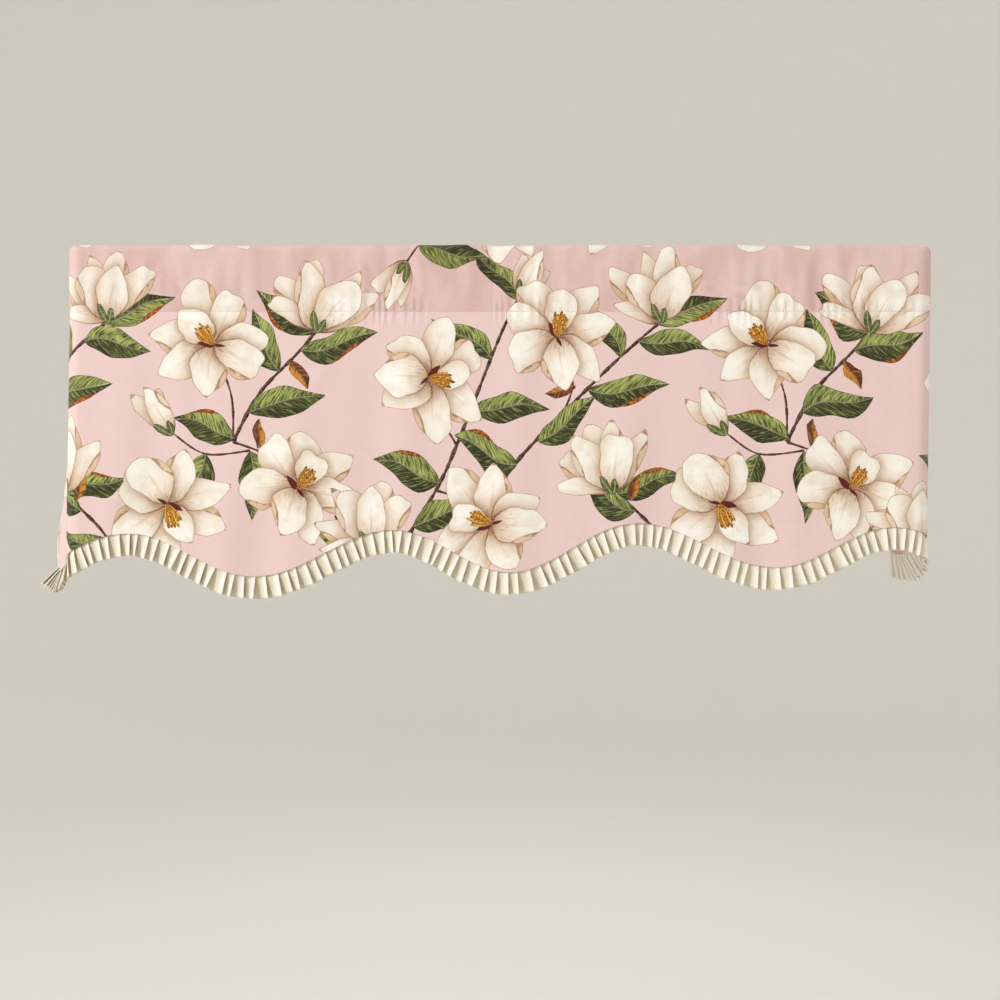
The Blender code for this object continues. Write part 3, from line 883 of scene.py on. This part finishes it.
# Leaves: brush strokes that follow the side veins, in near black and lime, fine pale veins, a
# pale midrib and a dark edge line. The shaded half has the light ones at half strength, and the
# sepals weaker still. Rolled edges and gold curled halves have a flame of orange in their place.
VEIN_PITCH = 9.5              # millimetres along the midrib
lit_half = add("Math", {0: 1.0, 1: plain_part}, operation="SUBTRACT")
russet_part = add("Math", {0: plain_part, 1: 0.75}, operation="GREATER_THAN")
vein_mm = add("Math", {0: across_mm, 1: 1.2}, operation="POWER")
vein_mm = add("Math", {0: vein_mm, 1: -0.6, 2: along_mm}, operation="MULTIPLY_ADD")
vein_mm = add("Math", {0: wash, 1: 7.0, 2: vein_mm}, operation="MULTIPLY_ADD")
off_vein = add("Math", {0: vein_mm, 1: VEIN_PITCH}, operation="DIVIDE")
off_vein = add("Math", {0: off_vein}, operation="FRACT")
off_vein = add("Math", {0: off_vein, 1: 0.5}, operation="SUBTRACT")
off_vein = add("Math", {0: off_vein}, operation="ABSOLUTE")
brushed = add("CombineXYZ", {0: add("Math", {0: vein_mm, 1: 0.42}, **product),
                             1: add("Math", {0: across_mm, 1: 0.10}, **product)})
brushed = add("TexNoise", {"Vector": brushed, "Scale": 1.0, "Detail": 3.0})
broken_vein = add("MapRange", {0: streak, 1: 0.40, 2: 0.58})
leaf_layers = (
    (brushed, 0.52, 0.37, 0.85, [], linear("#2b2a10")),
    (brushed, 0.52, 0.66, 0.75, [lit_half], linear("#bcc26e")),
    (off_vein, 0.085, 0.02, 0.40, [broken_vein, lit_half], linear("#c3cc8c")),
    (across_mm, 0.95, 0.35, 0.95, [lit_half], linear("#d8dcb0")),
    (edge_mm, 1.0, 0.3, 0.6, [], linear("#2c220a")),
    (grain, 0.42, 0.66, 0.6, [russet_part], linear("#d08a35")),
)

# Twigs are mottled bark, the cone of stamens is gold with dark flecks, and the pink ground
# varies a little.
twig_layers = (
    (grain, 0.47, 0.60, 0.7, [], linear("#785443")),
    (grain, 0.44, 0.34, 0.85, [], linear("#1f0f0d")),
)
flecks = add("TexVoronoi", {"Vector": own, "Scale": 430.0})
stamen_layers = (
    (flecks, 0.44, 0.24, 1.0, [lit_half], linear("#5a3212")),
    (edge_mm, 0.7, 0.2, 0.6, [], linear("#4a2a10")),
)
print_ink = add("MapRange", {0: wash, 1: 0.35, 2: 0.75, 4: 0.10}, **smooth)
print_ink = add("Mix", {0: print_ink, 6: ink_read, 7: linear("#e3b6ae")}, **laid_over)
for code, layers in ((PETAL, petal_layers), (LEAF, leaf_layers), (TWIG, twig_layers),
                     (STAMEN, stamen_layers)):
    motif_ink = ink_read
    for read_from, none_at, full_at, most, thinned_by, colour in layers:
        amount = add("MapRange", {0: read_from, 1: none_at, 2: full_at, 4: most}, **smooth)
        for thinner in thinned_by:
            amount = add("Math", {0: amount, 1: thinner}, **product)
        motif_ink = add("Mix", {0: amount, 6: motif_ink, 7: colour}, **laid_over)
    chosen = add("Math", {0: kind, 1: code, 2: 0.05}, operation="COMPARE")
    print_ink = add("Mix", {0: chosen, 6: print_ink, 7: motif_ink}, **laid_over)
# Painted shade: the pocket is a tone deeper than the panel, where its two layers and the rod space
# behind them let less light through.
down_cut = add("SeparateXYZ", {0: cut}, 1)
pocket_shade = add("MapRange", {0: down_cut, 1: STITCH_LINE / 1000 + 0.0006,
                           2: STITCH_LINE / 1000 - 0.0006})
# Upright blotches of painted shade stand in for the shade of the pocket's gathers.
upright = add("Mapping", {"Vector": cut, "Scale": (1.0, 0.35, 1.0)})
upright = add("TexNoise", {"Vector": upright, "Scale": 34.0, "Detail": 2.0})
upright = add("MapRange", {0: upright, 1: 0.40, 2: 0.62, 3: 0.50, 4: 1.0}, **smooth)
pocket_shade = add("Math", {0: pocket_shade, 1: upright}, **product)
# Petals take only a third of the pocket's painted shade.
on_petal = add("Math", {0: kind, 1: PETAL, 2: 0.05}, operation="COMPARE")
thinner = add("Math", {0: on_petal, 1: -0.7, 2: 1.0}, operation="MULTIPLY_ADD")
pocket_shade = add("Math", {0: pocket_shade, 1: thinner}, **product)
print_ink = add("Mix", {0: pocket_shade, 6: print_ink, 7: linear("#efe6e3")}, blend_type="MULTIPLY",
                **laid_over)
duck.node_tree.links.new(print_ink, shader.inputs["Base Color"])

# The real threads lie 0.45 mm apart, too fine for the picture: they are drawn 2.6 mm apart.
THREAD_TURNS = 2 * math.pi / 0.0026


def weave(add, cut, slub):
    """Height of a plain weave: a sine across times a sine along, and slubs along the threads."""
    threads = []
    for direction in (0, 1):
        turns = add("SeparateXYZ", {0: cut}, direction)
        turns = add("Math", {0: turns, 1: THREAD_TURNS}, **product)
        threads.append(add("Math", {0: turns}, operation="SINE"))
    crossed = add("Math", {0: threads[0], 1: threads[1]}, **product)
    drawn_out = add("Mapping", {"Vector": cut, "Scale": (1.0, 7.0, 1.0)})
    slubs = add("TexNoise", {"Vector": drawn_out, "Scale": 90.0, "Detail": 2.0})
    height = add("Math", {0: slubs, 1: slub, 2: crossed}, operation="MULTIPLY_ADD")
    return add("Bump", {"Height": height, "Distance": 0.00018, "Strength": 0.6})


duck.node_tree.links.new(weave(add, cut, 1.5), shader.inputs["Normal"])
cloth_mesh.materials.append(duck)
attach(cloth, "root")
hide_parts("rod_pocket_front", "rod_pocket_return_left", "rod_pocket_return_right",
            "face_panel")

# The pocket is closed, and both side hems are held, with lockstitch in matching pink thread.
# Each stitch is a short thread that dips into the cloth at its two ends.
STITCH_PITCH = 0.0034
STITCH_LENGTH = 0.0026
THREAD = 0.0006               # drawn stouter than the real 0.3 mm thread, so that it shows
SIDE_STITCHED = 0.015         # from the fold at the wall end
SIDE_TOP = 0.012              # where the side hems' stitches start
ABOVE_HEM = 0.006             # where they end
ROW_INSET = 0.001             # of the pocket's two rows, from the fold at the wall end
POCKET_BACK = -(QUARTER_FOLD + POCKET_HEIGHT - FOLD_RADIUS)


def stitches(starts, ends, proud, bow=0.45):
    """Short tubes that bow out of the cloth between their ends and thin towards both of them.

    proud is the unit direction out of the cloth at each stitch, and bow the rise in threads.
    """
    share = np.linspace(0, 1, 5)[None, :, None, None]
    turn = np.linspace(0, 2 * np.pi, 7)[None, None, :-1, None]
    run = (ends - starts)[:, None, None]
    side = unit(np.cross(run, proud[:, None, None]))
    out = unit(np.cross(side, run))
    middle = starts[:, None, None] + run * share
    middle = middle + out * THREAD * (2 * bow * np.sin(np.pi * share) - bow)
    radius = THREAD / 2 * np.sqrt(1 - 0.85 * (2 * share - 1) ** 2)
    return middle + radius * (np.cos(turn) * out + np.sin(turn) * side)


def sewn(name, tubes, material):
    """One mesh of many stitches, closed at their ends."""
    count, rings, sides = tubes.shape[:3]
    corner = np.arange(count * rings * sides).reshape(count, rings, sides)
    after = np.roll(corner, -1, axis=2)
    walls = np.stack([corner[:, :-1], after[:, :-1], after[:, 1:], corner[:, 1:]], axis=-1)
    piece, mesh = smooth_piece(name, tubes.reshape(-1, 3), walls.reshape(-1, 4).tolist()
                               + corner[:, 0, ::-1].tolist() + corner[:, -1].tolist())
    mesh.materials.append(material)
    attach(piece, "root")
    return piece


def along_cloth(line, half):
    """Stitches side by side along the cloth at one distance down it."""
    along = np.arange(-half, half, STITCH_PITCH)
    starts, ends = cloth_place(along, line), cloth_place(along + STITCH_LENGTH, line)
    return stitches(starts, ends, outward(along + STITCH_LENGTH / 2, line))


def down_cloth(along):
    """Stitches one below the other down the cloth at one distance along it."""
    down = np.arange(SIDE_TOP, float(hem_line(np.abs(along))) - ABOVE_HEM, STITCH_PITCH)
    starts, ends = cloth_place(along, down), cloth_place(along, down + STITCH_LENGTH)
    return stitches(starts, ends, outward(along, down + STITCH_LENGTH / 2))


def thread(name, colour):
    """Spun polyester thread: smoother than the cloth, with a slight sheen and uneven colour."""
    material, shader, add = cotton(name, 0.55, 0.25)
    ply = add("TexNoise", {"Vector": add("TexCoord", {}, 3), "Scale": 700.0})
    ply = add("MapRange", {0: ply, 1: 0.35, 2: 0.65, 4: 0.5})
    tone = add("Mix", {0: ply, 6: colour, 7: colour * 0.7}, **laid_over)
    material.node_tree.links.new(tone, shader.inputs["Base Color"])
    return material


WALL_FOLD = HALF_CLOTH - TURNING
tubes = [along_cloth(line, WALL_FOLD - ROW_INSET) for line in (STITCH_LINE / 1000, POCKET_BACK)]
for end in (-1, 1):
    tubes.append(down_cloth(end * (WALL_FOLD - SIDE_STITCHED)))
    tubes.append(down_cloth(end * (WALL_FOLD + math.pi * TURNING + SIDE_STITCHED)))
pink_sewing = sewn("pink_lockstitch", np.concatenate(tubes),
                   thread("spun_pink_thread", linear("#d3aaa2")))

# The trim is a strip of cream cotton laid in knife pleats, sewn behind the hem.
PLEATS = 112
TRIM_DROP = 0.026
TRIM_TUCK = 0.007             # behind the hem
TRIM_COTTON = 0.0005
PRESSED_GAP = 0.00012         # between the layers of a pleat, at the sewn edge
FOLD_ENDS = 0.0006            # below the hem, where the pleats are still pressed flat
PLEAT_LEAN = 0.8              # 0 hangs the pleats upright, 1 square to the hem
KICK_ROWS = (
    # along, fanned out
    (-0.64, 0.0220), (-0.56, 0.0060), (-0.49, 0.0015), (-0.44, 0.0),
    (0.47, 0.0), (0.515, 0.0030), (0.565, 0.0120), (0.64, 0.0015),
)
TRIM_ROWS = (
    # below hem, fold depth, step
    (-TRIM_TUCK, 0.00190, 0.0006), (FOLD_ENDS, 0.00165, 0.0012), (0.006, 0.0004, 0.0026),
    (0.015, -0.0006, 0.0040), (TRIM_DROP, -0.0019, 0.0054),
)
PLEAT_ROWS = 12
TUCKED_ROWS = 3               # of them above the level where the fold ends
PLEAT_SECTION = (
    # share of the pleat, share of the step, layers behind
    (0.00, 1.00, 0.0), (0.22, 0.80, 0.0), (0.45, 0.52, 0.0), (0.66, 0.26, 0.0),
    (0.79, 0.08, 0.0), (0.850, 0.00, 0.0), (0.868, 0.05, 0.25), (0.855, 0.10, 0.9),
    (0.72, 0.30, 1.0), (0.50, 0.50, 1.0), (0.335, 0.72, 1.05), (0.315, 0.82, 1.5),
    (0.345, 0.88, 2.0), (0.60, 0.95, 2.0), (0.85, 1.00, 1.6),
)


def hem_slope(along):
    """How much the hem drops for each metre along it."""
    step = 0.001
    return (half_waves(HEM_ROWS, along + step) - half_waves(HEM_ROWS, along - step)) / (2 * step)


def trim_surface():
    """Strip of knife pleats on a grid: rows from the sewn edge down, columns along the strip.

    Each pleat's section runs out to its fold, back under itself and out again to the next one.
    The second result is how far each point lies back in its pleat, from 0 on the fold to 1.
    """
    number = np.arange(PLEATS)
    uneven = 1 + 0.19 * np.sin(2.4 * number) + 0.13 * np.sin(5.1 * number + 1.0)
    widths = uneven / np.hypot(1.0, hem_slope(HALF_CLOTH * (2 * number / PLEATS - 1)))
    edges = np.concatenate([[0.0], np.cumsum(widths)]) * 2 * HALF_CLOTH / widths.sum()
    edges -= HALF_CLOTH
    share, stepped, behind = np.array(PLEAT_SECTION).T
    start, width = edges[:-1, None], np.diff(edges)[:, None]
    below_rows, depth_rows, step_rows = np.array(TRIM_ROWS).T
    below = np.concatenate([np.linspace(-TRIM_TUCK, FOLD_ENDS, TUCKED_ROWS + 1)[:-1],
                            np.linspace(FOLD_ENDS, TRIM_DROP, PLEAT_ROWS - TUCKED_ROWS)])
    open_share = np.clip(below / TRIM_DROP, 0.0, 1.0)[:, None, None]
    drift = 0.0011 * np.sin(3.3 * number + 0.5) + 0.0007 * np.sin(7.9 * number)
    along = start + share * width + drift[:, None] * open_share * (0.4 + share)
    level = 0.0005 * np.sin(4.7 * number + 1.0)[:, None] * open_share
    fold = np.interp(below, below_rows, depth_rows)[:, None, None]
    step = np.interp(below, below_rows, step_rows)[:, None, None]
    step = step * (1 + 0.22 * np.sin(6.1 * number)[:, None] * open_share)
    set_back = np.maximum(stepped, np.minimum(behind, 1.0)) + 0.0 * along
    depth = fold + step * stepped + behind * (TRIM_COTTON + PRESSED_GAP + 0.0004 * open_share)
    below = below[:, None, None] + level + 0.0 * along
    rows = len(below)
    along, depth, below = (part.reshape(rows, -1) for part in (along, depth, below))
    lean = PLEAT_LEAN * hem_slope(along)
    length = np.hypot(1.0, lean)
    kick = half_waves(KICK_ROWS, along)
    fanned = (1 + np.sqrt(1 - (kick / TRIM_DROP) ** 2)) / 2
    depth = depth - kick * np.maximum(below, 0.0) / TRIM_DROP
    below = np.where(below > 0, below * fanned, below)
    place = along - below * lean / length
    drop = half_waves(HEM_ROWS, along) + below / length
    depth = depth - relief(place, np.minimum(drop, half_waves(HEM_ROWS, place)))
    return hang(place, drop, depth), set_back.reshape(rows, -1)


trim_grid, set_back = trim_surface()
rows, columns = trim_grid.shape[:2]
corner = np.arange(rows * columns).reshape(rows, columns)
quads = np.stack([corner[:-1, :-1], corner[1:, :-1], corner[1:, 1:], corner[:-1, 1:]], axis=-1)
trim, trim_mesh = smooth_piece("cream_pleats", trim_grid.reshape(-1, 3),
                               quads.reshape(-1, 4).tolist())
strip_length = np.linalg.norm(np.diff(trim_grid[2], axis=0), axis=1)
strip_along = np.concatenate([[0.0], np.cumsum(strip_length)])
strip_down = np.linspace(0, TRIM_TUCK + TRIM_DROP, rows)
strip_uv = np.stack(np.broadcast_arrays(strip_along[None], strip_down[:, None]), axis=-1)
strip_uv = strip_uv.reshape(-1, 2)[quads.ravel()]
trim_mesh.uv_layers.new(name="cut").uv.foreach_set("vector", strip_uv.ravel())
trim_mesh.attributes.new("set_back", "FLOAT", "POINT").data.foreach_set("value", set_back.ravel())
thickness = trim.modifiers.new("cotton", "SOLIDIFY")
thickness.thickness = TRIM_COTTON
thickness.offset = -1.0
thickness.material_offset = 1


def pressed_cotton(name, pleat_shade):
    """Cream cotton, pressed: matt with a soft sheen, finely woven, a little uneven in colour.

    Its second argument is how much painted shade darkens the cloth down in its pleats, against their
    folds.
    """
    material, shader, add = cotton(name, 0.78, 0.12)
    cut = add("UVMap", {}, uv_map="cut")
    toned = add("TexNoise", {"Vector": cut, "Scale": 55.0, "Detail": 3.0})
    toned = add("MapRange", {0: toned, 1: 0.35, 2: 0.7, 4: 0.35}, **smooth)
    tone = add("Mix", {0: toned, 6: linear("#f3f0e5"), 7: linear("#e6dfc9")}, **laid_over)
    # Painted shade: darker down in the pleats, where less light reaches, than on their folds.
    shade_in_pleat = add("Attribute", {}, 2, attribute_name="set_back")
    shade_in_pleat = add("MapRange", {0: shade_in_pleat, 1: 0.10, 2: 0.95, 4: pleat_shade}, **smooth)
    tone = add("Mix", {0: shade_in_pleat, 6: tone, 7: linear("#c6b99b")}, **laid_over)
    material.node_tree.links.new(tone, shader.inputs["Base Color"])
    material.node_tree.links.new(weave(add, cut, 0.8), shader.inputs["Normal"])
    return material


# The side that faces the wall is the second material: it has no deep valleys, so it gets only a
# little painted shade.
trim_mesh.materials.append(pressed_cotton("pressed_cream_cotton", 0.75))
trim_mesh.materials.append(pressed_cotton("cream_cotton_wrong_side", 0.15))
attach(trim, "root")
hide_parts("pleated_trim")

# The trim's heading is overlocked to the hem's raw edge at the back: cream threads in zigzag
# over the edge, and a row of straight stitches under them.
OVERLOCK_PITCH = 0.0030
OVERLOCK_INSET = 0.018        # from the fold at the wall end
ROW_STITCH = 0.8              # of the pitch
# Where its threads lie: below the heading's edge, and behind the cloth's face.
OVER_EDGE = (-0.0018, 0.0036)
ON_HEADING = (0.0030, 0.0050)
IN_ROW = (0.0038, 0.0048)


def behind_hem(along, below, depth):
    """Points behind the cloth, at a distance below the hem line."""
    drop = half_waves(HEM_ROWS, along) + below
    return hang(along, drop, depth - relief(along, drop))


def backward(along):
    """Unit vectors out of the cloth's back at the hem."""
    step = 0.0005
    return unit(behind_hem(along, -TRIM_TUCK, step) - behind_hem(along, -TRIM_TUCK, 0.0))


seam = np.arange(-WALL_FOLD + OVERLOCK_INSET, WALL_FOLD - OVERLOCK_INSET, OVERLOCK_PITCH)
over_edge, on_heading, next_edge, row_start, row_end = [
    behind_hem(seam + share * OVERLOCK_PITCH, below - TRIM_TUCK, depth)
    for share, (below, depth) in ((0.0, OVER_EDGE), (0.5, ON_HEADING), (1.0, OVER_EDGE),
                                  (0.0, IN_ROW), (ROW_STITCH, IN_ROW))]
out = backward(seam)
overlock = sewn("cream_overlock", np.concatenate([
    stitches(over_edge, on_heading, out, 1.0), stitches(on_heading, next_edge, out, 1.0),
    stitches(row_start, row_end, out)]), thread("spun_cream_thread", linear("#f7f3e8")))

# A pale round floor well below that curves up far off into a plain backdrop, and soft studio
# light from the left, the front and behind.
FLOOR_DROP = 2.1
FLOOR_REACH = 5.2
RIM_RADIUS = 3.4
WALL_TOP = 6.5                # above the floor


def studio_floor():
    """Points turned about the middle: a flat disc, a quarter circle that bends up, a wall."""
    bend = np.linspace(0, np.pi / 2, 17)
    radius = FLOOR_REACH + RIM_RADIUS * np.sin(bend)
    radius = np.concatenate([[0.001], radius, radius[-1:]])
    height = np.concatenate([[0.0], RIM_RADIUS * (1 - np.cos(bend)), [WALL_TOP]]) - FLOOR_DROP
    turns = np.linspace(0, 2 * np.pi, 65)[:-1, None]
    return np.stack([radius * np.cos(turns), radius * np.sin(turns), height + 0 * turns], axis=-1)


floor_grid = studio_floor()
turns, rings = floor_grid.shape[:2]
corner = np.arange(turns * rings).reshape(turns, rings)
after = np.roll(corner, -1, axis=0)
floor_faces = np.stack([corner[:, :-1], corner[:, 1:], after[:, 1:], after[:, :-1]], axis=-1)
floor, floor_mesh = smooth_piece("floor", floor_grid.reshape(-1, 3),
                                 floor_faces.reshape(-1, 4).tolist())
floor_material = bpy.data.materials.new("pale_floor")
floor_material.use_nodes = True
floor_shader = floor_material.node_tree.nodes["Principled BSDF"]
floor_shader.inputs["Base Color"].default_value = (*linear("#ebe8e2"), 1.0)
floor_shader.inputs["Roughness"].default_value = 0.9
floor_mesh.materials.append(floor_material)

LIGHT_ROWS = (
    # name, at, aimed at, size, power
    ("key", (-4.3, -2.4, 1.9), (0.0, 0.0, -0.2), 1.0, 170.0),
    ("fill", (1.9, -4.5, 1.1), (0.0, 0.0, -0.2), 2.6, 41.0),
    ("back", (0.5, 4.2, 1.8), (0.0, 0.0, -0.2), 2.6, 36.0),
)
for name, at, aim, size, power in LIGHT_ROWS:
    lamp = bpy.data.lights.new(name, "AREA")
    lamp.size = size
    lamp.energy = power
    light = bpy.data.objects.new(name, lamp)
    light.location = at
    light.rotation_euler = (Vector(aim) - Vector(at)).to_track_quat("-Z", "Y").to_euler()
    bpy.context.collection.objects.link(light)

world = bpy.data.worlds.new("studio")
world.use_nodes = True
background = world.node_tree.nodes["Background"]
background.inputs["Color"].default_value = (*linear("#eeece8"), 1.0)
background.inputs["Strength"].default_value = 0.79
bpy.context.scene.world = world
bpy.context.scene.view_settings.view_transform = "Standard"
